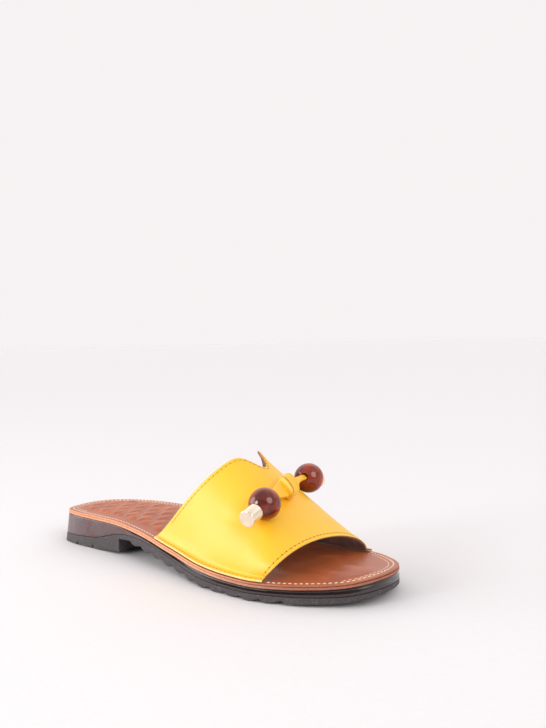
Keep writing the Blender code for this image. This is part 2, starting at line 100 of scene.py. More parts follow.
# Insole
BOARD = 1.2 * MM
BOARD_INSET = 0.1 * MM
SOCK = 0.9 * MM
SOCK_INSET = 0.25 * MM
PAD_HEIGHT = 1.3 * MM
PAD_START = 8.5 * MM
PAD_TOP = 12.5 * MM
QUILT_LENGTH = 13.3 * MM
QUILT_ROW = 9.3 * MM
QUILT_PUFF = 1.0 * MM
QUILT_END = 92 * MM
QUILT_PLACE = (6.25 * MM, 2.15 * MM)
QUILT_SWING = 0.41
QUILT_ROWS = 5
QUILT_SEAM = 5.6 * MM
QUILT_FADE = 12 * MM
QUILT_SHADE_FADE = 14 * MM
PAD_FADE = 45 * MM
SOCK_RIM = 15 * MM
BOARD_LINE = 0.10 * MM

# Vamp
INSTEP_HEIGHT = 69.2 * MM
VAMP_WALL = 2.0 * MM
FLANGE_INSET = 0.5 * MM
FLANGE_WIDTH = 3.5 * MM
FLANGE_EDGE = 1.1 * MM
PINCH = 2.8 * MM
LOBE_BACK = 1.5 * MM
LOBE_RISE = 1.3 * MM
VAMP_EDGE = 0.45 * MM
SKIVE = 0.6 * MM
SKIVE_WIDTH = 7 * MM
VAMP_LENGTH = 105 * MM
VAMP_GIRTH = 175 * MM

# Tie, beads and end caps
BEAD_RADIUS = 8.7 * MM
BEAD_HOLE = 2.2 * MM
BEAD_HALF = math.sqrt(BEAD_RADIUS**2 - BEAD_HOLE**2)
CAP_RADIUS = 4.5 * MM
CAP_LENGTH = 9 * MM
CAP_EDGE = 0.5 * MM
SPIGOT_LENGTH = 3.5 * MM
KNOT_LENGTH = 9 * MM
KNOT_WIDTH = 14 * MM
KNOT_HEIGHT = 8.8 * MM
STRAP_WIDTH = 10.4 * MM
STRAP_NECK = 3.4 * MM
STRAP_THICKNESS = 2 * MM
STRAP_IN_BEAD = 3 * MM
KNOT_SLANT = math.radians(-22)
KNOT_RINGS = 90
TUBE_SIDES = 72

# Angles round knot and strap, in degrees, and the depth of the strap's crease
FOLD_FADE = 30
# where the raw edge colour in the first fold, partly a painted fold shadow, starts
CUT_EDGE_SHADOW_START = 35
STRAP_CREASE_AT, STRAP_CREASE_WIDTH = 62, 16
STRAP_CREASE = -0.30 * MM

# Places of the stitches
VAMP_STITCH_INSET = 2.2 * MM
RIM_STITCH_INSET = 3.0 * MM
SECOND_ROW_INSET = 5.6 * MM
SEAM_ENDS = (0.012, 0.988)
FLANGE_ROW = 0.52
RIM_ROW_GAP = 0.004
SECOND_HEEL_ROW = (0.10, 0.34)
SECOND_TOE_ROW = (0.95, 0.86)

GAP = 0.3 * MM


def table(fields, *rows):
    """Rows with named fields."""
    kind = namedtuple("Row", fields)
    return [kind(*row) for row in rows]


def ridge_table(x_scale, y_scale, *rows):
    """Soft ridges, or troughs where the height is below 0, from one place to another. Places are
    in the given scales, width and height in mm."""
    scales = (x_scale, y_scale, x_scale, y_scale, MM, MM)
    scaled = [[value * scale for value, scale in zip(row, scales)] for row in rows]
    return table("x y end_x end_y width height", *scaled)


# Stitches, and dark marks of painted shade at the needle holes: size of one, distance from one
# to the next, and a shift as a share of that distance
VAMP_STITCH, VAMP_HOLE_SHADE, RIM_STITCH, SECOND_STITCH = table(
    "length width height pitch shift",
    (2.0 * MM, 0.55 * MM, 0.40 * MM, 3.0 * MM, 0.0),
    (0.95 * MM, 0.85 * MM, 0.22 * MM, 3.0 * MM, 0.48),
    (2.1 * MM, 0.95 * MM, 0.70 * MM, 2.9 * MM, 0.0),
    (2.1 * MM, 0.60 * MM, 0.45 * MM, 2.9 * MM, 0.0),
)

# Half widths from heel to toe as shares of the local breadth, evenly along a half circle
HALF_WIDTHS = (
    (0.000, 0.000), (0.314, 0.223), (0.409, 0.382), (0.447, 0.487), (0.469, 0.516),
    (0.467, 0.452), (0.469, 0.400), (0.502, 0.449), (0.505, 0.495), (0.430, 0.468),
    (0.308, 0.356), (0.187, 0.192), (0.000, 0.000),
)
OUTLINE = table("along outer inner", *[(row / 12, *halves) for row, halves in enumerate(HALF_WIDTHS)])

# Side of the sole, as in the part
SIDE = table(
    "along heel toe line lean groove",
    (0.000, 0.950, 0.00, 0.300, -1.80, 0.00),
    (0.100, 0.975, 0.00, 0.345, -0.50, 0.00),
    (0.180, 0.995, 0.00, 0.430, 0.50, 0.00),
    (0.215, 1.000, 0.00, 0.540, 0.80, 0.00),
    (0.270, 0.983, 0.00, 0.715, 1.00, 0.00),
    (0.330, 0.883, 0.00, 0.815, 0.90, 0.22),
    (0.400, 0.717, 0.00, 0.850, 0.70, 0.32),
    (0.480, 0.454, 0.00, 0.810, 0.50, 0.46),
    (0.550, 0.267, 0.00, 0.680, 0.35, 0.56),
    (0.620, 0.125, 0.00, 0.550, 0.25, 0.60),
    (0.700, 0.020, 0.00, 0.530, 0.25, 0.60),
    (0.800, 0.000, 0.04, 0.580, 0.25, 0.60),
    (0.880, 0.000, 0.22, 0.575, 0.00, 0.60),
    (0.950, 0.000, 0.50, 0.590, 0.10, 0.60),
    (1.000, 0.000, 1.00, 0.640, 0.20, 0.60),
)

# One lug and the gap behind it, along one pitch
LUG = table("along depth", (0.00, 1.00), (0.06, 0.50), (0.14, 0.18), (0.26, 0.00), (0.46, 0.00))

# Depth of the gaps between the lugs, along the insole
LUG_DEPTHS = table(
    "along depth", (0.30, 0.90), (0.55, 1.00), (0.66, 0.75), (0.76, 0.75), (0.86, 0.75)
)

# The rand's wall from its foot to its top at the full groove: rise as a share of the wall's height
# and of the groove in it, hollow as a share of GROOVE_DEPTH, edge as a share of RAND_EDGE
RAND = table(
    "along base drop hollow edge",
    (0.00, 0.00, 0.00, 0.0, 1.0),
    (0.06, 0.03, 0.00, 0.0, 0.2),
    (0.16, 0.25, 0.25, 0.0, 0.0),
    (0.30, 1.00, 1.05, 0.0, 0.0),
    (0.45, 1.00, 0.80, 0.6, 0.0),
    (0.62, 1.00, 0.50, 1.0, 0.0),
    (0.84, 1.00, 0.20, 0.8, 0.0),
    (0.97, 0.98, 0.02, 0.1, 0.3),
    (1.00, 1.00, 0.00, 0.0, 1.0),
)

# Wrinkles of the sock's forefoot, in plan
WRINKLES = ridge_table(
    MM, MM,
    (132, -24, 160, -30, 3.5, 0.55),
    (150, -14, 186, -22, 4.0, 0.70),
    (168, -6, 196, -10, 3.2, 0.55),
    (176, 8, 201, 3, 3.6, 0.65),
    (160, 14, 182, 20, 3.4, 0.55),
    (140, 4, 168, 6, 4.5, -0.45),
    (120, -8, 146, -4, 4.0, 0.45),
)

# Vamp from its rear to its front edge: where its feet and its crest stand, and how full it is
VAMP = table(
    "along outer inner crest across height fullness sweep",
    (0.00, 0.430, 0.493, 0.618, 0.029, 1.000, 0.55, 0.50),
    (0.50, 0.616, 0.672, 0.725, -0.040, 0.749, 0.88, 0.62),
    (1.00, 0.802, 0.851, 0.838, -0.108, 0.384, 1.00, 0.74),
)

# Notch of the rear edge, and two bends beside it
[NOTCH] = table("round width reach", (0.492, 0.098, 0.25))

BENDS = table(
    "round width hold end back pinch rise",
    (0.68, 0.130, 0.35, 0.95, 0.0, 1.0, 0.0),
    (0.60, 0.045, 0.00, 0.30, 1.0, 0.0, 1.0),
)

# Places on the vamp, and how far each bead's cap points down
KNOT_SEAT, OUTER_BEAD_SEAT, INNER_BEAD_SEAT = table(
    "along round droop", (0.417, 0.497, 0.0), (0.642, 0.321, 0.05), (0.430, 0.739, 0.20)
)

# Strap from a bead to the knot, then the band round the knot, as shares of their full sizes
STRAP = table(
    "along outer inner thickness",
    (0.00, 0.00, 0.00, 1.00),
    (0.22, 0.00, 0.00, 1.00),
    (0.38, 0.25, 0.00, 1.10),
    (0.65, 0.80, 0.10, 1.10),
    (0.85, 1.00, 0.70, 0.90),
    (1.00, 1.00, 1.00, 0.90),
)

KNOT = table(
    "along width height",
    (-0.50, 0.72, 0.62),
    (-0.46, 0.90, 0.84),
    (-0.20, 1.00, 0.98),
    (0.10, 1.00, 1.00),
    (0.42, 0.94, 0.90),
    (0.50, 0.74, 0.64),
)

# Folds of the knot's band: place along it, first and last angle round it, width as a share of its
# length, and depth
FOLDS = table(
    "along first last width depth",
    (-0.36, 60, 230, 0.026, -0.80 * MM),
    (-0.28, 60, 230, 0.040, 0.20 * MM),
    (0.17, 10, 165, 0.040, 0.25 * MM),
    (0.25, 10, 165, 0.030, -0.70 * MM),
    (0.38, 100, 190, 0.026, -0.50 * MM),
)

# Creases of the vamp, places as shares of its length and girth
CREASES = ridge_table(
    VAMP_LENGTH, VAMP_GIRTH,
    (0.30, 0.14, 0.62, 0.22, 5.0, -0.35),
    (0.12, 0.80, 0.45, 0.88, 5.5, -0.40),
    (0.55, 0.42, 0.80, 0.60, 6.0, -0.25),
    (0.62, 0.30, 0.86, 0.24, 6.0, 0.25),
)


def mix(first, second, share):
    return first + (second - first) * share


def ease(value):
    share = np.clip(value, 0.0, 1.0)
    return share * share * (3 - 2 * share)


def smooth(rows, field, along):
    """Values of one column between its rows, as a soft curve that never overshoots a row."""
    places = np.array([row.along for row in rows])
    values = np.array([getattr(row, field) for row in rows])
    along = np.clip(along, places[0], places[-1])
    rises = np.diff(values) / np.diff(places)
    before, after = rises[:-1], rises[1:]
    mean = (before + after) / 2
    limit = 3 * np.minimum(np.abs(before), np.abs(after))
    inner = np.where(before * after > 0, np.sign(mean) * np.minimum(np.abs(mean), limit), 0.0)
    slopes = np.concatenate([rises[:1], inner, rises[-1:]])
    i = np.clip(np.searchsorted(places, along, side="right") - 1, 0, len(rows) - 2)
    width = np.diff(places)[i]
    s = (along - places[i]) / width
    return (
        (2 * s**3 - 3 * s**2 + 1) * values[i]
        + (s**3 - 2 * s**2 + s) * width * slopes[i]
        + (3 * s**2 - 2 * s**3) * values[i + 1]
        + (s**3 - s**2) * width * slopes[i + 1]
    )


def unit(vectors):
    return vectors / np.linalg.norm(vectors, axis=-1, keepdims=True)


def turn_at(share):
    return np.arccos(1 - 2 * np.clip(share, 0.0, 1.0)) / np.pi


def share_at(turn):
    """Share of the insole's length at a turn: from 0 to 1 evenly round the half circle."""
    return (1 - np.cos(np.pi * turn)) / 2


def rim(turn, side):
    """Points of the insole's outline in plan."""
    share = share_at(turn)
    breadth = mix(HEEL_WIDTH, BALL_WIDTH, ease((share - 0.2) / 0.5))
    half = breadth * smooth(OUTLINE, "outer" if side == OUTER else "inner", turn)
    return np.stack([share * INSOLE_LENGTH - HEEL_SEAT, side * half - TOE_SHIFT * share**2], -1)


def rim_inset(turn, side, inset):
    """The same points moved inwards, square to the outline."""
    step = 0.004
    run = rim(np.minimum(1, turn + step), side) - rim(np.maximum(0, turn - step), side)
    inwards = unit(np.stack([run[..., 1], -run[..., 0]], -1) * side)
    inwards[turn <= 0] = (1, 0)
    inwards[turn >= 1] = (-1, 0)
    return rim(turn, side) + inwards * np.broadcast_to(inset, turn.shape)[..., None]


def heel_rise(share):
    return smooth(SIDE, "heel", share) * (HEEL_HEIGHT - BALL_HEIGHT)


def insole_height(share):
    return BALL_HEIGHT + heel_rise(share) + smooth(SIDE, "toe", share) * TOE_SPRING


def outsole_top(share):
    return insole_height(share) * smooth(SIDE, "line", share)


def ground_line(share):
    lift = np.maximum(0.0, heel_rise(share) - WAIST_EXTRA)
    return lift + smooth(SIDE, "toe", share) * TOE_SPRING


def board_top(share):
    return insole_height(share) + BOARD


def sock_top(share):
    return board_top(share) + GAP + SOCK


def tread_height(share):
    """Underside of the outsole: heel cuts, breast, lugs and toe, with softened corners."""
    stations = [(0.0, 0.0)]
    for middle in HEEL_CUTS:
        left, right = middle - HEEL_CUT_WIDTH / 2, middle + HEEL_CUT_WIDTH / 2
        stations += [(left - CUT_SLOPE, 0.0), (left, HEEL_CUT_DEPTH)]
        stations += [(right, HEEL_CUT_DEPTH), (right + CUT_SLOPE, 0.0)]
    stations += [(HEEL_BEVEL_START, 0.0), (BREAST, HEEL_BEVEL)]
    waist = BREAST + BREAST_SLOPE
    stations.append((waist, float(ground_line(waist / INSOLE_LENGTH))))
    for number in range(LUG_COUNT):
        for row in LUG:
            place = LUG_START + (number + row.along) * LUG_PITCH
            at = place / INSOLE_LENGTH
            depth = LUG_DEPTH * smooth(LUG_DEPTHS, "depth", at) * row.depth
            stations.append((place, float(ground_line(at) + depth)))
    lug_end = (LUG_START + LUG_COUNT * LUG_PITCH) / INSOLE_LENGTH
    for step in np.linspace(0, np.pi / 2, 20):
        at = mix(lug_end, 1, math.sin(step))
        stations.append((at * INSOLE_LENGTH, float(ground_line(at))))
    xs, zs = np.array(stations).T
    around = np.linspace(-LUG_ROUNDING, LUG_ROUNDING, 5)
    places = share * INSOLE_LENGTH
    return np.mean([np.interp(places + shift, xs, zs) for shift in around], axis=0)


def wall_inset(share, height):
    return WALL_LEAN * smooth(SIDE, "lean", share) * (1 - height / insole_height(share))


def grid_faces(rows, columns, first=0, flip=False):
    """Quads of a grid whose points are numbered row by row."""
    i, j = np.meshgrid(np.arange(rows - 1), np.arange(columns - 1), indexing="ij")
    a = first + i * columns + j
    quads = np.stack([a, a + 1, a + columns + 1, a + columns], -1).reshape(-1, 4)
    return quads[:, ::-1] if flip else quads


def mesh_piece(name, points, faces, materials, face_slots=None, merge=True):
    """Smooth mesh with outward faces; points that lie on one another become one."""
    mesh = bpy.data.meshes.new(name)
    mesh.from_pydata(np.asarray(points).reshape(-1, 3).tolist(), [], np.asarray(faces).tolist())
    for material in materials:
        mesh.materials.append(material)
    if face_slots is not None:
        mesh.polygons.foreach_set("material_index", np.asarray(face_slots, dtype=np.int32))
    if merge:
        body = bmesh.new()
        body.from_mesh(mesh)
        bmesh.ops.remove_doubles(body, verts=body.verts, dist=2e-6)
        bmesh.ops.recalc_face_normals(body, faces=body.faces)
        body.to_mesh(mesh)
        body.free()
    mesh.shade_smooth()
    piece = bpy.data.objects.new(name, mesh)
    bpy.context.scene.collection.objects.link(piece)
    return piece


def seated(piece, node):
    """The piece stands for a CAD node, which it hides, and rides on the shoe."""
    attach(piece, "root")
    if node:
        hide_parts(node)
    return piece


def sole_stations(spacing):
    """Turns from heel to toe: even along the half circle, and no further apart than the spacing."""
    even = np.linspace(0, 1, 241)
    along = np.arange(0.03, 0.97, spacing / INSOLE_LENGTH)
    turns = np.unique(np.concatenate([even, turn_at(along)]).round(7))
    return turns[np.diff(turns, prepend=-1) > 2e-4]


def sole_layer(name, turns, levels, columns, materials, edge_levels=0, drape=None):
    """Solid of closed outlines one above the other. Each level is (inset, height) for all turns.
    The caps are ladders of quads, the hidden lower one of few. The first edge_levels take the
    second material. Drape, a function of x, y, share and inset, gives the heights of the other
    levels and of the upper cap."""
    count = len(turns)
    share = share_at(turns)
    around = np.concatenate([share, share[::-1], share[:1]])
    rings = []
    for number, (inset, height) in enumerate(levels):
        outer, inner = (rim_inset(turns, side, inset) for side in (OUTER, INNER))
        plan = np.concatenate([outer, inner[::-1], outer[:1]])
        height = np.broadcast_to(height, turns.shape)
        height = np.concatenate([height, height[::-1], height[:1]])
        if drape and number >= edge_levels:
            height = drape(*plan.T, around, inset)
        rings.append(np.c_[plan, height])
    width = 2 * count + 1
    points = np.concatenate(rings)
    faces = grid_faces(len(rings), width)
    bands = [int(number < edge_levels) for number in range(len(rings) - 1)]
    slots = np.repeat(bands, width - 1)
    caps = ((rings[0], False, bands[0], min(columns, 6)), (rings[-1], True, bands[-1], columns))
    for ring, flip, used, strips in caps:
        outer, inner = ring[:count], ring[count : 2 * count][::-1]
        across = np.linspace(0, 1, strips + 1)[None, :, None]
        cap = mix(outer[:, None, :], inner[:, None, :], across)
        if drape and flip:
            x, y, _ = np.moveaxis(cap[:, 1:-1], -1, 0)
            cap[:, 1:-1, 2] = drape(x, y, share[:, None], levels[-1][0])
        faces = np.concatenate([faces, grid_faces(count, strips + 1, len(points), flip)])
        slots = np.concatenate([slots, np.full((count - 1) * strips, used)])
        points = np.concatenate([points, cap.reshape(-1, 3)])
    return mesh_piece(name, points, faces, materials, slots)


def make_outsole(rubber):
    turns = sole_stations(0.5 * MM)
    share = share_at(turns)
    tread = tread_height(share)
    top = outsole_top(share) - GAP
    levels = []
    for angle in np.linspace(0, np.pi / 2, 5):
        height = tread + OUTSOLE_EDGE * (1 - math.cos(angle))
        levels.append((wall_inset(share, height) + OUTSOLE_EDGE * (1 - math.sin(angle)), height))
    low = tread + OUTSOLE_EDGE
    for rise in (0.15, 0.35, 0.55, 0.75, 0.92, 1.0):
        height = mix(low, top - RAND_EDGE, rise)
        levels.append((wall_inset(share, height), height))
    levels.append((wall_inset(share, top) + OUTSOLE_LIP, top - OUTSOLE_LIP))
    levels.append((wall_inset(share, top) + RAND_EDGE, top))
    piece = sole_layer("outsole_rubber", turns, levels, 12, [rubber])
    seated(piece, "outsole")


def make_midsole(tortoise):
    turns = sole_stations(1.5 * MM)
    share = share_at(turns)
    low, high = outsole_top(share), insole_height(share) - GAP
    groove = np.maximum(0.04, smooth(SIDE, "groove", share))
    depth = GROOVE_DEPTH * ease(groove / 0.3)
    levels = []
    for along in np.linspace(0, 1, 37):
        rise = smooth(RAND, "base", along) - smooth(RAND, "drop", along) * groove
        height = mix(low, high, rise)
        hollow = smooth(RAND, "hollow", along) * depth + smooth(RAND, "edge", along) * RAND_EDGE
        levels.append((wall_inset(share, height) + hollow, height))
    piece = sole_layer("heel_block_and_rand", turns, levels, 8, [tortoise])
    seated(piece, "midsole")


def make_insole_board(tan):
    turns = sole_stations(1.5 * MM)
    share = share_at(turns)
    low = insole_height(share)
    levels = []
    for along in np.linspace(0, 1, 13):
        bulge = 1 - abs(2 * along - 1) ** 3
        line = BOARD_LINE * math.exp(-(((along - 0.55) / 0.09) ** 2))
        levels.append((BOARD_INSET * (1 - bulge) + line, low + BOARD * along))
    piece = sole_layer("insole_board_edge", turns, levels, 6, [tan])
    seated(piece, "insole_board")


def rim_distance(x, y):
    """Distance in plan from points to the insole's outline."""
    turns = np.linspace(0, 1, 360)
    edge = np.concatenate([rim(turns, OUTER), rim(turns, INNER)])
    flat = np.stack([x.ravel(), y.ravel()], -1)
    nearest = [
        np.sqrt(((part[:, None, :] - edge[None]) ** 2).sum(-1).min(1))
        for part in np.array_split(flat, max(1, len(flat) // 2000))
    ]
    return np.concatenate(nearest).reshape(x.shape)


def quilt_line(number, x):
    """Across place of one wavy seam of the quilting; neighbours swing against each other."""
    swing = QUILT_SWING * QUILT_ROW * np.cos(2 * np.pi * (x - QUILT_PLACE[0]) / QUILT_LENGTH)
    return number * QUILT_ROW + (swing if number % 2 else -swing) + QUILT_PLACE[1]


def quilt(x, y):
    """Rise of the padded cells between the wavy seams, from 0 in a seam to 1."""
    nearest, step = np.full(x.shape, 1.0), 0.2 * MM
    for number in range(-QUILT_ROWS, QUILT_ROWS + 1):
        line = quilt_line(number, x)
        slope = (quilt_line(number, x + step) - line) / step
        nearest = np.minimum(nearest, np.abs(y - line) / np.sqrt(1 + slope**2))
    return ease(0.12 + nearest / QUILT_SEAM)


def sock_surface(x, y, share, inset):
    """Top of the sock: flat welt round the rim, pad, quilted heel, soft wrinkles in front. The rim
    follows the height of the board beside it, the middle the height under its own place."""
    front = ease((x - QUILT_END) / PAD_FADE)
    start = mix(PAD_START, 0.6 * PAD_START, front)
    width = mix(PAD_TOP - PAD_START, 2.2 * PAD_TOP, front)
    rise = ease((rim_distance(x, y) - start) / width)
    heel = 1 - ease((x - QUILT_END) / QUILT_FADE)
    cells = QUILT_PUFF * (quilt(x, y) - 0.6)
    own = sock_top((x + HEEL_SEAT) / INSOLE_LENGTH)
    base = mix(sock_top(share), own, ease(inset / SOCK_RIM))
    wrinkles = ridges(WRINKLES, x, y, bow=0.12, over=0.3, fade=0.5)
    return base + rise * (PAD_HEIGHT + heel * cells + (1 - heel) * wrinkles)


def ridges(rows, x, y, bow, over, fade):
    """Height of soft ridges given one by one. Bow, over and fade are shares of a ridge's length, by
    which it bends, runs past its ends and fades there."""
    height = np.zeros(np.broadcast(x, y).shape)
    for row in rows:
        dx, dy = row.end_x - row.x, row.end_y - row.y
        length = math.hypot(dx, dy)
        t = ((x - row.x) * dx + (y - row.y) * dy) / length**2
        off = ((x - row.x) * dy - (y - row.y) * dx) / length
        off = off - bow * length * np.sin(np.pi * np.clip(t, 0, 1))
        ends = ease((t + over) / fade) * ease((1 + over - t) / fade)
        height += row.height * ends * np.exp(-((off / row.width) ** 2))
    return height


def make_insole(cognac, tan):
    turns = sole_stations(0.8 * MM)
    share = share_at(turns)
    low = board_top(share) + GAP
    levels = [(SOCK_INSET + 0.1 * MM, low)]
    for along in np.linspace(0.12, 0.8, 6):
        levels.append((SOCK_INSET * (1 - 0.5 * math.sin(math.pi * along)), low + SOCK * along))
    levels.append((SOCK_INSET + 0.03 * MM, low + SOCK * 0.9))
    edge_levels = len(levels)
    insets = (0.4 * MM, 0.55 * MM, *np.arange(MM, SOCK_RIM, 0.5 * MM))
    levels += [(inset, low) for inset in insets]
    piece = sole_layer("quilted_sock", turns, levels, 96, [cognac, tan], edge_levels, sock_surface)
    flat = np.empty(3 * len(piece.data.vertices))
    piece.data.vertices.foreach_get("co", flat)
    x, y, _ = flat.reshape(-1, 3).T
    # painted shade of the quilt: 1 on the cells, lower in the seams, fading out to the front and rim
    quilt_shade = quilt(x, y) * (1 - ease((x - QUILT_END) / QUILT_SHADE_FADE))
    quilt_shade = quilt_shade * ease((rim_distance(x, y) - PAD_START) / (PAD_TOP - PAD_START))
    piece.data.attributes.new("quilt_shade", "FLOAT", "POINT").data.foreach_set("value", quilt_shade)
    seated(piece, "insole")


def foot_of_vamp(share, side, inset):
    place = rim_inset(turn_at(share), side, inset)
    return np.concatenate([place, (sock_top(share) + GAP + VAMP_WALL)[..., None]], -1)


def vamp_point(along, round_share):
    """Outer surface of the vamp: along from rear to front edge, round from outer to inner foot."""
    along, round_share = np.broadcast_arrays(along + 0.0, round_share + 0.0)
    swing = np.pi * round_share
    notch = NOTCH.reach * np.exp(-1.6 * ((round_share - NOTCH.round) / NOTCH.width) ** 2)
    row = notch + (1 - notch) * along
    fold = FLANGE_INSET + FLANGE_WIDTH
    outer = foot_of_vamp(smooth(VAMP, "outer", row), OUTER, fold)
    inner = foot_of_vamp(smooth(VAMP, "inner", row), INNER, fold)
    lift = np.clip(np.sin(swing), 1e-6, 1.0)
    base = mix(outer, inner, ((1 - np.cos(swing)) / 2)[..., None])
    crest_x = smooth(VAMP, "crest", row) * INSOLE_LENGTH - HEEL_SEAT
    crest_y = smooth(VAMP, "across", row) * BALL_WIDTH
    crest_z = smooth(VAMP, "height", row) * INSTEP_HEIGHT
    x = mix(base[..., 0], crest_x, lift ** smooth(VAMP, "sweep", row))
    y = base[..., 1] + (crest_y - (outer[..., 1] + inner[..., 1]) / 2) * lift**2
    z = mix(base[..., 2], crest_z, lift ** smooth(VAMP, "fullness", row))
    for bend in BENDS:
        share = np.exp(-(((round_share - bend.round) / bend.width) ** 2))
        share = share * (1 - ease((along - bend.hold) / (bend.end - bend.hold)))
        x = x - LOBE_BACK * bend.back * share
        y = y - PINCH * bend.pinch * share
        z = z + LOBE_RISE * bend.rise * share
    return np.stack([x, y, z], -1)


def vamp_normal(along, round_share):
    step = 0.01
    low, high = np.maximum(0.0, round_share - step), np.minimum(1.0, round_share + step)
    back, front = np.maximum(0.0, along - step), np.minimum(1.0, along + step)
    across = vamp_point(along, high) - vamp_point(along, low)
    forward = vamp_point(front, round_share) - vamp_point(back, round_share)
    return unit(np.cross(forward, across))


def flange_point(along, side, across):
    """Points on the flange's skived top: across is 0 at its edge and 1 at the fold."""
    share = smooth(VAMP, "outer" if side == OUTER else "inner", along)
    point = foot_of_vamp(share, side, FLANGE_INSET + FLANGE_WIDTH * across)
    point[..., 2] -= (VAMP_WALL - FLANGE_EDGE) * (1 - across)
    return point


def grid_normals(points):
    """Upward normals of a grid of points, by its neighbours along and across."""
    normals = unit(np.cross(np.gradient(points, axis=0), np.gradient(points, axis=1)))
    return normals * np.sign(normals[len(normals) // 2, normals.shape[1] // 2, 2])


def creased(alongs, rounds):
    """Outer surface of the arch with its soft creases, and its normals."""
    normals = vamp_normal(alongs, rounds)
    x, y = alongs * VAMP_LENGTH, rounds * VAMP_GIRTH
    height = ridges(CREASES, x, y, bow=0, over=0.15, fade=0.4) * ease(np.sin(np.pi * rounds) * 4)
    return vamp_point(alongs, rounds) + normals * height[..., None], normals


def vamp_grid(alongs, across_count=236, flange_count=9):
    """Outer surface of the vamp with its two flanges, the fold between them softened, and the
    leather's thickness at each point: skived towards all edges."""
    rounds = np.linspace(0, 1, across_count + 1)
    arch, _ = creased(alongs[:, None], rounds[None, :])
    across = np.linspace(0, 1, flange_count)
    outer = np.stack([flange_point(alongs, OUTER, share) for share in across[:-1]], 1)
    inner = np.stack([flange_point(alongs, INNER, share) for share in across[-2::-1]], 1)
    whole = np.concatenate([outer, arch, inner], axis=1)
    for _ in range(6):
        softer = whole.copy()
        softer[:, 1:-1] = (whole[:, :-2] + 2 * whole[:, 1:-1] + whole[:, 2:]) / 4
        near = np.zeros(whole.shape[1])
        for fold in (flange_count - 1, whole.shape[1] - flange_count):
            near = np.maximum(near, 1 - ease((np.abs(np.arange(len(near)) - fold) - 2) / 4))
        whole = mix(whole, softer, near[None, :, None])
    flange = mix(FLANGE_EDGE, VAMP_WALL, across[:-1])
    wall = np.concatenate([flange, np.full(across_count + 1, VAMP_WALL), flange[::-1]])
    edge = np.minimum(alongs, 1 - alongs) * VAMP_LENGTH
    skived = SKIVE * (1 - ease(edge / SKIVE_WIDTH))
    return whole, np.maximum(FLANGE_EDGE, wall[None, :] - skived[:, None])


def make_vamp(yellow, lining, raw, welt):
    """One wall with rounded cut edges: yellow grain side out, lining in, pale edge on the welt."""
    outside, wall = vamp_grid(np.linspace(0, 1, 101))
    normals = grid_normals(outside)
    inside = outside - normals * wall[..., None]
    rows, columns = outside.shape[:2]
    front, last = rows - 1, columns - 1
    border = [(0, k) for k in range(columns)] + [(k, last) for k in range(1, rows)]
    border += [(front, k) for k in range(last - 1, -1, -1)]
    border += [(k, 0) for k in range(front - 1, -1, -1)]
    i, j = np.array(border).T
    line, away, thick = outside[i, j], normals[i, j], wall[i, j][:, None]
    run = unit(np.roll(line, -1, axis=0) - np.roll(line, 1, axis=0))
    run[-1] = run[0]
    outwards = unit(np.cross(run, away))
    centre = outside[rows // 2, columns // 2]
    if (outwards[0] * (centre - line[0])).sum() > 0:
        outwards = -outwards
    edge_rings = []
    for angle in np.linspace(0, np.pi, 9):
        bulge = VAMP_EDGE * math.sin(angle) ** 0.7
        depth = thick * (1 - math.cos(angle)) / 2
        edge_rings.append(line - away * depth + outwards * (bulge - VAMP_EDGE))
    outside[i, j] -= outwards * VAMP_EDGE
    inside[i, j] -= outwards * VAMP_EDGE
    points = np.concatenate([outside.reshape(-1, 3), inside.reshape(-1, 3), *edge_rings])
    grid = grid_faces(rows, columns)
    under = grid_faces(rows, columns, rows * columns, flip=True)
    faces = np.concatenate([grid, under, grid_faces(len(edge_rings), len(line), 2 * rows * columns)])
    on_welt = (j[:-1] == j[1:])[None, :]
    bands = np.array([0, 0, 2, 2, 2, 2, 1, 1])[:, None]
    edge_slots = np.where(on_welt, 3, bands).ravel()
    slots = np.concatenate([np.zeros(len(grid)), np.ones(len(under)), edge_slots])
    piece = mesh_piece("vamp", points, faces, [yellow, lining, raw, welt], slots)
    seated(piece, "upper")


def joined(parts):
    """Points and faces of several meshes as one mesh."""
    starts = np.cumsum([0] + [len(points) for points, _ in parts])
    faces = np.concatenate([faces + start for (_, faces), start in zip(parts, starts)])
    return np.concatenate([points for points, _ in parts]), faces


def capsule(stitch, around=8, rings=5):
    """One stitch along +X that sinks at both ends."""
    points = []
    for t in np.linspace(0, 1, rings + 1):
        size = math.sin(math.pi * mix(0.10, 0.90, t)) ** 0.45
        drop = -0.35 * stitch.height * (1 - math.sin(math.pi * mix(0.04, 0.96, t)))
        for a in np.arange(around) * 2 * math.pi / around:
            y = size * stitch.width / 2 * math.cos(a)
            z = drop + size * stitch.height / 2 * math.sin(a)
            points.append((mix(-stitch.length / 2, stitch.length / 2, t), y, z))
    faces = []
    for i in range(rings):
        for k in range(around):
            a, b = i * around + k, i * around + (k + 1) % around
            faces.append((a, b, b + around, a + around))
    for end in (np.arange(around)[::-1], np.arange(around) + rings * around):
        for k in range(0, around - 2, 2):
            faces.append((end[0], end[k + 1], end[k + 2], end[(k + 3) % around]))
    return np.array(points), np.array(faces)


def along_path(path, normals, stitch):
    """Even places on a path for its stitches, with their run and normal."""
    lengths = np.concatenate([[0], np.cumsum(np.linalg.norm(np.diff(path, axis=0), axis=1))])
    count = max(2, int(lengths[-1] / stitch.pitch))
    places = (np.arange(count) + 0.5 + stitch.shift) * lengths[-1] / count
    step = 0.3 * MM

    def at(values, shift=0):
        return np.stack([np.interp(places + shift, lengths, column) for column in values.T], -1)

    before, after = at(path, -step), at(path, step)
    return (before + after) / 2, unit(after - before + 1e-9), unit(at(normals))


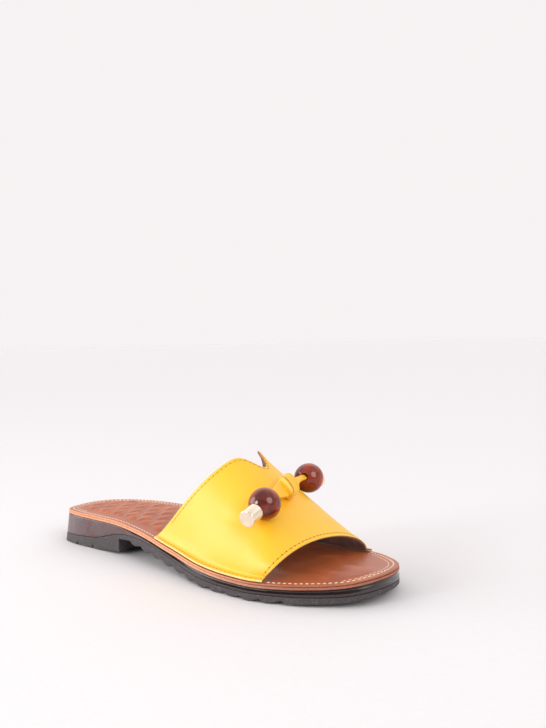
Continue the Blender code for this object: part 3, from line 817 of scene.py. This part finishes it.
def sew(name, rows, thread, stitch):
    """Many stitches, or dark marks of painted needle hole shade, as one mesh; each row is (path,
    normals).
    """
    one_points, one_faces = capsule(stitch)
    parts = []
    for path, normals in rows:
        middle, run, up = along_path(path, normals, stitch)
        across = unit(np.cross(up, run))
        frames = np.stack([run, across, np.cross(run, across)], axis=1)
        placed = np.einsum("pk,nkc->npc", one_points, frames) + middle[:, None, :]
        parts += [(points, one_faces) for points in placed]
    piece = mesh_piece(name, *joined(parts), [thread], merge=False)
    seated(piece, None)


def vamp_edge_path(edge, inset):
    """Line on the vamp at a distance from its rear edge (0) or front edge (1)."""
    rounds = np.linspace(*SEAM_ENDS, 500)
    step = 0.02 if edge == 0 else -0.02
    at_edge = vamp_point(np.full(500, edge), rounds)
    near = vamp_point(np.full(500, edge + step), rounds)
    return creased(edge + step * inset / np.linalg.norm(near - at_edge, axis=1), rounds)


def upright(points):
    """A row of stitches whose normals all point up."""
    return points, np.tile((0.0, 0.0, 1.0), (len(points), 1))


def flange_path(side):
    return upright(flange_point(np.linspace(*SEAM_ENDS, 200), side, FLANGE_ROW))


def sock_rim_rows(heel, toe, inset):
    """Lines on the sock round its heel and its toe, each from an outer to an inner share."""
    rows = []
    for (outer, inner), end in ((heel, 0.0), (toe, 1.0)):
        points = []
        for first, last, side in ((outer, end, OUTER), (end, inner, INNER)):
            turns = np.linspace(turn_at(first), turn_at(last), 300)
            plan = rim_inset(turns, side, inset)
            points.append(np.c_[plan, sock_surface(*plan.T, share_at(turns), inset)])
        rows.append(upright(np.concatenate([points[0], points[1][1:]])))
    return rows


def sew_everything():
    """Thread and painted needle hole shade of the vamp, and the two rows round the sock's ends."""
    yellow = sewing_thread("yellow sewing thread", "E9A92C", "C98A1C")
    cream = sewing_thread("cream sewing thread", "F6DFC4", "DDB996")
    vamp_rows = [vamp_edge_path(edge, VAMP_STITCH_INSET) for edge in (0, 1)]
    vamp_rows += [flange_path(side) for side in (OUTER, INNER)]
    sew("vamp_stitches", vamp_rows, yellow, VAMP_STITCH)
    # dark marks beside the stitches: painted shade of the needle holes
    sew("vamp_needle_hole_shade", vamp_rows, needle_hole_shade(), VAMP_HOLE_SHADE)
    behind = (VAMP[0].outer - RIM_ROW_GAP, VAMP[0].inner - RIM_ROW_GAP)
    before = (VAMP[-1].outer + RIM_ROW_GAP, VAMP[-1].inner + RIM_ROW_GAP)
    rim_rows = sock_rim_rows(behind, before, RIM_STITCH_INSET)
    sew("sock_rim_stitches", rim_rows, cream, RIM_STITCH)
    second_rows = sock_rim_rows(SECOND_HEEL_ROW, SECOND_TOE_ROW, SECOND_ROW_INSET)
    sew("sock_second_row", second_rows, cream, SECOND_STITCH)


def revolve(name, profile, materials, place, axis, steps=72):
    """Solid of revolution round +Z, then turned to its axis."""
    radius, height = np.array(profile).T[..., None]
    angles = np.linspace(0, 2 * np.pi, steps + 1)
    grid = np.stack([radius * np.cos(angles), radius * np.sin(angles), height + 0 * angles], -1)
    z = unit(axis)
    x = unit(np.cross((0.0, 0.0, 1.0), z))
    points = grid.reshape(-1, 3) @ np.array([x, np.cross(z, x), z]) + place
    return mesh_piece(name, points, grid_faces(len(profile), steps + 1), materials)


def seat(row, height):
    normal = vamp_normal(row.along, row.round)
    return vamp_point(row.along, row.round) + normal * height, normal


def bead_profile():
    """Ball with a hole; the hole's rims are rounded."""
    start = 1.09 * math.atan2(BEAD_HOLE, BEAD_HALF)
    corner = ((0.0, 0.4), (0.03, 0.12), (0.12, 0.05))
    upper = [(BEAD_HOLE + out * MM, BEAD_HALF - down * MM) for out, down in corner]
    angles = np.linspace(start, np.pi - start, 48)
    ball = [(BEAD_RADIUS * math.sin(angle), BEAD_RADIUS * math.cos(angle)) for angle in angles]
    lower = [(radius, -height) for radius, height in upper[::-1]]
    return lower[-1:] + upper + ball + lower


def cap_profile():
    """End cap: rounded rims and a faint hollow in its face."""
    profile = [(0.0, CAP_LENGTH - 0.12 * MM), (CAP_RADIUS * 0.72, CAP_LENGTH - 0.12 * MM)]
    profile += [(CAP_RADIUS * 0.78, CAP_LENGTH - 0.05 * MM), (CAP_RADIUS * 0.83, CAP_LENGTH)]
    edge, round_edge = CAP_RADIUS - CAP_EDGE, np.linspace(0, np.pi / 2, 7)
    for angle in round_edge:
        top = CAP_LENGTH - CAP_EDGE + CAP_EDGE * math.cos(angle)
        profile.append((edge + CAP_EDGE * math.sin(angle), top))
    for angle in round_edge:
        profile.append((edge + CAP_EDGE * math.cos(angle), CAP_EDGE - CAP_EDGE * math.sin(angle)))
    spigot = BEAD_HOLE - GAP
    return profile + [(spigot, 0.0), (spigot, -SPIGOT_LENGTH), (0.0, -SPIGOT_LENGTH)]


def tube(sections):
    """Grid through rounded rectangles: middle, across, up, width, height, power of each and what
    is added to its radius at each angle."""
    angles = np.linspace(0, 2 * np.pi, TUBE_SIDES + 1)
    c, s = np.cos(angles), np.sin(angles)
    points = []
    for middle, across, up, width, height, power, added in sections:
        x = np.sign(c) * np.abs(c) ** (2 / power) * width / 2
        y = np.sign(s) * np.abs(s) ** (2 / power) * height / 2
        grown = 1 + added(np.degrees(angles)) / np.hypot(x, y)
        points.append(middle + across * (x * grown)[:, None] + up * (y * grown)[:, None])
    first, last = (np.tile(ring[:-1].mean(axis=0), (len(c), 1)) for ring in (points[0], points[-1]))
    grid = np.array([first, *points, last])
    return grid.reshape(-1, 3), grid_faces(len(grid), TUBE_SIDES + 1)


def strap_tube(word, bead, axis, knot, up):
    """Narrow in the bead's hole, then flat and wide into the knot, one soft crease along it."""
    start = bead - axis * (BEAD_RADIUS - STRAP_IN_BEAD)
    leave = bead - axis * (BEAD_RADIUS + STRAP_IN_BEAD)
    sections = []
    for s in np.linspace(0, 1, 60):
        middle = start * (1 - s) ** 2 + leave * 2 * s * (1 - s) + knot * s**2
        run = unit((leave - start) * (1 - s) + (knot - leave) * s)
        across = unit(np.cross(run, up))
        width = mix(STRAP_NECK, STRAP_WIDTH, float(smooth(STRAP, word, s)))
        thickness = STRAP_THICKNESS * float(smooth(STRAP, "thickness", s))
        crease = STRAP_CREASE * float(ease((s - 0.25) / 0.2))

        def added(angle, crease=crease):
            return crease * np.exp(-(((angle - STRAP_CREASE_AT) / STRAP_CREASE_WIDTH) ** 2))

        sections.append((middle, across, np.cross(across, run), width, thickness, 3.0, added))
    return tube(sections)


def knot_tube(knot, run, up):
    """The band round the knot, with its folds."""
    across = np.array(Matrix.Rotation(KNOT_SLANT, 3, up.tolist())) @ unit(np.cross(run, up))
    sections = []
    for along in np.linspace(-0.5, 0.5, KNOT_RINGS):
        width = KNOT_WIDTH * float(smooth(KNOT, "width", along))
        height = KNOT_HEIGHT * float(smooth(KNOT, "height", along))

        def added(angle, along=along):
            total = np.zeros(angle.shape)
            for fold in FOLDS:
                near = ease((angle - fold.first) / FOLD_FADE) * ease((fold.last - angle) / FOLD_FADE)
                total += near * fold.depth * math.exp(-(((along - fold.along) / fold.width) ** 2))
            return total

        sections.append((knot + run * (along * KNOT_LENGTH), across, up, width, height, 2.6, added))
    return tube(sections)


def cut_edge_and_fold_shadow(faces):
    """1 on the faces of the knot's band along its first fold that take the raw edge colour: the
    strap's cut edge, and a dark line painted there as the fold's shadow.
    """
    row, column = np.divmod(np.arange(faces), TUBE_SIDES)
    along = (row - 0.5) / (KNOT_RINGS - 1) - 0.5
    angle = (column + 0.5) * 360 / TUBE_SIDES
    fold = FOLDS[0]
    in_turn = (angle > fold.first - CUT_EDGE_SHADOW_START) & (angle < fold.last)
    return in_turn & (abs(along - fold.along) < fold.width)


def make_tie_and_beads(yellow, cut, resin, gold):
    knot, up = seat(KNOT_SEAT, KNOT_HEIGHT / 2 + GAP)
    ends = []
    for word, row in (("outer", OUTER_BEAD_SEAT), ("inner", INNER_BEAD_SEAT)):
        bead, _ = seat(row, BEAD_RADIUS + GAP)
        axis = unit(unit(bead - knot) - np.array([0, 0, row.droop]))
        ball = revolve(f"bead_{word}_resin", bead_profile(), [resin], bead, axis)
        seated(ball, f"bead_{word}")
        foot = bead + axis * (BEAD_HALF + GAP)
        cap = revolve(f"ferrule_{word}_gold", cap_profile(), [gold], foot, axis)
        seated(cap, f"ferrule_{word}")
        ends.append((word, bead, axis))
    run = unit(ends[1][1] - ends[0][1])
    run = unit(run - up * (run @ up))
    tubes = [knot_tube(knot, run, up)] + [strap_tube(*end, knot, up) for end in ends]
    points, faces = joined(tubes)
    slots = np.zeros(len(faces), dtype=int)
    band = len(tubes[0][1])
    # raw edge colour in the first fold: the strap's cut edge and a painted shadow of the fold
    slots[:band] = cut_edge_and_fold_shadow(band)
    piece = mesh_piece("knotted_tie", points, faces, [yellow, cut], slots)
    seated(piece, "tie")


def linear(hex_color):
    """Linear colour of an sRGB hex value."""
    channels = [int(hex_color[i : i + 2], 16) / 255 for i in (0, 2, 4)]
    return (*[c / 12.92 if c <= 0.04045 else ((c + 0.055) / 1.055) ** 2.4 for c in channels], 1)


def add(tree, kind, sockets=None, stops=None, **settings):
    """One node: sockets take a value or another node's output, stops are a ramp's hex colours."""
    made = tree.nodes.new("ShaderNode" + kind)
    for name, value in settings.items():
        setattr(made, name, value)
    for name, value in (sockets or {}).items():
        if isinstance(value, bpy.types.NodeSocket):
            tree.links.new(value, made.inputs[name])
        else:
            made.inputs[name].default_value = value
    if stops:
        ends = made.color_ramp.elements
        for element, (place, color) in zip((ends[0], ends[-1]), (stops[0], stops[-1])):
            element.position, element.color = place, linear(color)
        for place, color in stops[1:-1]:
            ends.new(place).color = linear(color)
    return made


def finish(name, mottle, mottle_size, grain_size, relief, rough, lengthwise=None, quilt_shade=None, **shader):
    """Surface of one stuff: colour mottled over mottle_size, roughness and relief that follow a
    grain of grain_size, all in mm. Optional stops of tint: lengthwise from heel to toe, and
    quilt_shade from seam to cell, which paints shade into the quilt's seams. What is left goes
    straight to the shader."""
    material = bpy.data.materials.new(name)
    material.use_nodes = True
    tree = material.node_tree
    tree.nodes.clear()
    place = add(tree, "TexCoord").outputs["Object"]
    broad = {"Vector": place, "Scale": 1 / (mottle_size * MM), "Detail": 3.0, "Distortion": 0.6}
    cloud = add(tree, "TexNoise", broad).outputs["Fac"]
    color = add(tree, "ValToRGB", {"Fac": cloud}, mottle).outputs["Color"]
    tints = []
    if lengthwise:
        x = add(tree, "SeparateXYZ", {"Vector": place}).outputs["X"]
        ends = {"Value": x, "From Min": -HEEL_SEAT, "From Max": INSOLE_LENGTH - HEEL_SEAT}
        tints.append((add(tree, "MapRange", ends).outputs["Result"], lengthwise))
    # painted shade: the quilt_shade attribute darkens the sock's quilt seams
    if quilt_shade:
        tints.append((add(tree, "Attribute", attribute_name="quilt_shade").outputs["Fac"], quilt_shade))
    for factor, stops in tints:
        tint = add(tree, "ValToRGB", {"Fac": factor}, stops).outputs["Color"]
        color = add(tree, "VectorMath", {0: color, 1: tint}, operation="MULTIPLY").outputs[0]
    fine = {"Vector": place, "Scale": 1 / (grain_size * MM), "Detail": 5.0, "Roughness": 0.6}
    grain = add(tree, "TexNoise", fine).outputs["Fac"]
    ends = {"Value": grain, "From Min": 0.3, "From Max": 0.7, "To Min": rough[0], "To Max": rough[1]}
    shader["Roughness"] = add(tree, "MapRange", ends).outputs["Result"]
    shader["Normal"] = add(tree, "Bump", {"Height": grain, "Distance": relief * MM}).outputs["Normal"]
    shader["Base Color"] = color
    surface = add(tree, "BsdfPrincipled", shader).outputs["BSDF"]
    add(tree, "OutputMaterial", {"Surface": surface})
    return material


def yellow_leather():
    """Full-grain leather with a pigment finish: even warm yellow, fine grain, a satin light."""
    tones = [(0.3, "F0B51E"), (0.7, "F6BF26")]
    satin = {"IOR": 1.5, "Coat Weight": 0.15, "Coat Roughness": 0.3}
    return finish("yellow pigmented leather", tones, 60, 0.9, 0.05, (0.36, 0.48), **satin)


def shade_darkened_lining():
    """Pigskin lining: pinkish brown with open pores, darkened as painted shade of the vamp's inside."""
    # tones darker than the lining's own colour: painted shade of the vamp's inside
    tones = [(0.3, "573226"), (0.7, "6C4436")]
    nap = {"IOR": 1.45, "Sheen Weight": 0.25, "Sheen Roughness": 0.5}
    return finish("shade-darkened pigskin lining", tones, 8, 0.7, 0.12, (0.7, 0.9), **nap)


def raw_edge():
    """Cut through the leather: brown fibres, speckled light and dark."""
    tones = [(0.35, "7E4C34"), (0.65, "B5805E")]
    return finish("raw cut leather", tones, 0.8, 0.5, 0.10, (0.75, 0.9), IOR=1.45)


def welt_edge():
    """Skived edge of the vamp on the sock: thin, so its dye dries pale cream yellow."""
    tones = [(0.3, "F0C878"), (0.7, "F8DC98")]
    return finish("skived leather edge", tones, 3, 0.5, 0.05, (0.5, 0.65), IOR=1.48)


def cognac_leather():
    """Aniline leather: brown, with painted shade that darkens the quilt's seams and leaves the pads
    lighter, soft gloss.
    """
    tones = [(0.25, "A04E28"), (0.55, "B45E30"), (0.8, "C06C38")]
    seam_shade_tint = [(0.1, "F2ECEE"), (0.9, "FFFFFF")]
    gloss = {"IOR": 1.5, "Coat Weight": 0.1, "Coat Roughness": 0.3}
    return finish("cognac aniline leather", tones, 20, 0.9, 0.06, (0.34, 0.48), quilt_shade=seam_shade_tint, **gloss)


def tan_edge():
    """Edge of board and sock under edge paint: orange at the heel, darker and redder towards the toe.
    """
    tones = [(0.3, "E6E0DC"), (0.7, "FFFFFF")]
    heel_to_toe_tones = [(0.2, "E6A078"), (0.45, "E8A67C"), (0.62, "DC9C78"), (0.85, "AC6A50")]
    return finish("painted leather edge", tones, 2, 0.5, 0.05, (0.45, 0.6), heel_to_toe_tones, IOR=1.48)


def tortoiseshell_plastic():
    """Moulded plastic in tortoiseshell: mauve grey heel with red patches, dark brown rand, gloss."""
    tones = [(0.46, "FFFFFF"), (0.54, "FFE4DE"), (0.60, "FF9A84")]
    along = [(0.0, "523A3D"), (0.30, "4E363A"), (0.42, "2E1F20"), (0.60, "241819")]
    gloss = {"IOR": 1.5, "Coat Weight": 0.6, "Coat Roughness": 0.05}
    return finish("moulded tortoiseshell plastic", tones, 15, 6, 0.02, (0.24, 0.34), along, **gloss)


def outsole_rubber():
    """Moulded rubber: grey and matte; pale specks in its colour are painted highlights of the mould's
    stipple.
    """
    # the palest stop paints light catching the mould's stipple
    tones = [(0.34, "3A3233"), (0.60, "463E40"), (0.72, "6A6465")]
    return finish("moulded rubber", tones, 1.1, 0.8, 0.14, (0.5, 0.75), IOR=1.52)


def tortoise_resin():
    """Cast resin: red brown with wide dark swirls, and light that goes in and comes out warm."""
    tones = [(0.36, "541409"), (0.50, "90300F"), (0.64, "C0561B")]
    gloss = {"IOR": 1.54, "Subsurface Weight": 0.3}
    gloss |= {"Subsurface Radius": (1.0, 0.35, 0.12), "Subsurface Scale": 4 * MM}
    return finish("cast tortoise resin", tones, 16, 5, 0.004, (0.03, 0.06), **gloss)


def plated_gold():
    """Pale gold plating over turned metal, with a few hairline rubs."""
    tones = [(0.3, "F4DFC4"), (0.7, "FCEEDC")]
    return finish("pale gold plating", tones, 4, 0.8, 0.006, (0.14, 0.24), Metallic=1.0)


def sewing_thread(name, light, dark):
    """Twisted polyester thread: two plies that show as fine light and dark ribs."""
    tones = [(0.35, dark), (0.65, light)]
    twist = {"IOR": 1.5, "Sheen Weight": 0.2}
    return finish(name, tones, 0.4, 0.3, 0.05, (0.5, 0.7), **twist)


def needle_hole_shade():
    """Painted shade of a needle hole: dark colour where the needle went in, in place of the shade in
    the hole.
    """
    tones = [(0.3, "7A4A12"), (0.7, "93601C")]
    return finish("painted needle hole shade", tones, 0.5, 0.4, 0.05, (0.7, 0.9), IOR=1.45)


def studio_paper():
    """Background paper: almost even, faint fibre."""
    tones = [(0.3, "DFDCDD"), (0.7, "E1DEDF")]
    return finish("studio background paper", tones, 3, 2, 0.01, (0.85, 0.95), IOR=1.4)


def stand(name, data, axes, place):
    """A light or camera with its right, up and backward directions, at its place."""
    item = bpy.data.objects.new(name, data)
    bpy.context.scene.collection.objects.link(item)
    turn = np.eye(4)
    turn[:3, :3] = np.array(axes).T
    turn[:3, 3] = place
    item.matrix_world = Matrix(turn.tolist())
    return item


def lamp(name, kind, direction, distance, power, **settings):
    """A light that shines from a direction on the shoe."""
    light = bpy.data.lights.new(name, kind)
    light.energy = power
    for setting, value in settings.items():
        setattr(light, setting, value)
    back = unit(np.array(direction))
    right = unit(np.cross((0, 0, 1.0), back))
    stand(name, light, (right, np.cross(back, right), back), np.array(AIM) + back * distance)


def make_studio():
    """Pale floor, a bright backdrop that dims towards the camera's side, and four soft lights."""
    bpy.ops.mesh.primitive_plane_add(size=60, location=(0, 0, 0))
    floor = bpy.context.object
    floor.name = "studio_floor"
    floor.data.materials.append(studio_paper())
    world = bpy.data.worlds.new("studio")
    world.use_nodes = True
    tree = world.node_tree
    tree.nodes.clear()
    direction = add(tree, "TexCoord").outputs["Generated"]
    way = {0: direction, 1: BRIGHTER_WAY}
    facing = add(tree, "VectorMath", way, operation="DOT_PRODUCT").outputs["Value"]
    ends = {"Value": facing, "From Min": BRIGHTER_FROM, "From Max": BRIGHTER_TO}
    ends |= {"To Min": DIMMEST * BACKDROP, "To Max": BACKDROP}
    strength = add(tree, "MapRange", ends, interpolation_type="SMOOTHSTEP").outputs["Result"]
    color = {"Color": linear("FFFAFB"), "Strength": strength}
    backdrop = add(tree, "Background", color).outputs["Background"]
    add(tree, "OutputWorld", {"Surface": backdrop})
    bpy.context.scene.world = world
    lamp("square_key", "AREA", (-0.26, -0.93, 0.28), 1.2, 5.8, shape="SQUARE", size=0.4)
    lamp("left_card", "SUN", (-0.80, -0.56, 0.20), 2, 1.5, angle=math.radians(45))
    lamp("round_softbox", "SUN", (0.83, -0.09, 0.53), 2, 1.25, angle=math.radians(40))
    lamp("overhead", "SUN", (-0.1, 0.1, 0.98), 2, 1.1, angle=math.radians(120))


def make_camera():
    lens = bpy.data.cameras.new("camera")
    lens.lens = CAMERA_LENS
    lens.sensor_width = 36
    axes = (CAMERA_RIGHT, CAMERA_UP, CAMERA_BACK)
    bpy.context.scene.camera = stand("camera", lens, axes, CAMERA_PLACE)


def main():
    make_camera()
    make_studio()
    yellow, tan, cut = yellow_leather(), tan_edge(), raw_edge()
    make_outsole(outsole_rubber())
    make_midsole(tortoiseshell_plastic())
    make_insole_board(tan)
    make_insole(cognac_leather(), tan)
    make_vamp(yellow, shade_darkened_lining(), cut, welt_edge())
    make_tie_and_beads(yellow, cut, tortoise_resin(), plated_gold())
    sew_everything()
    bpy.context.scene.view_settings.view_transform = "Standard"
    bpy.context.view_layer.update()


main()
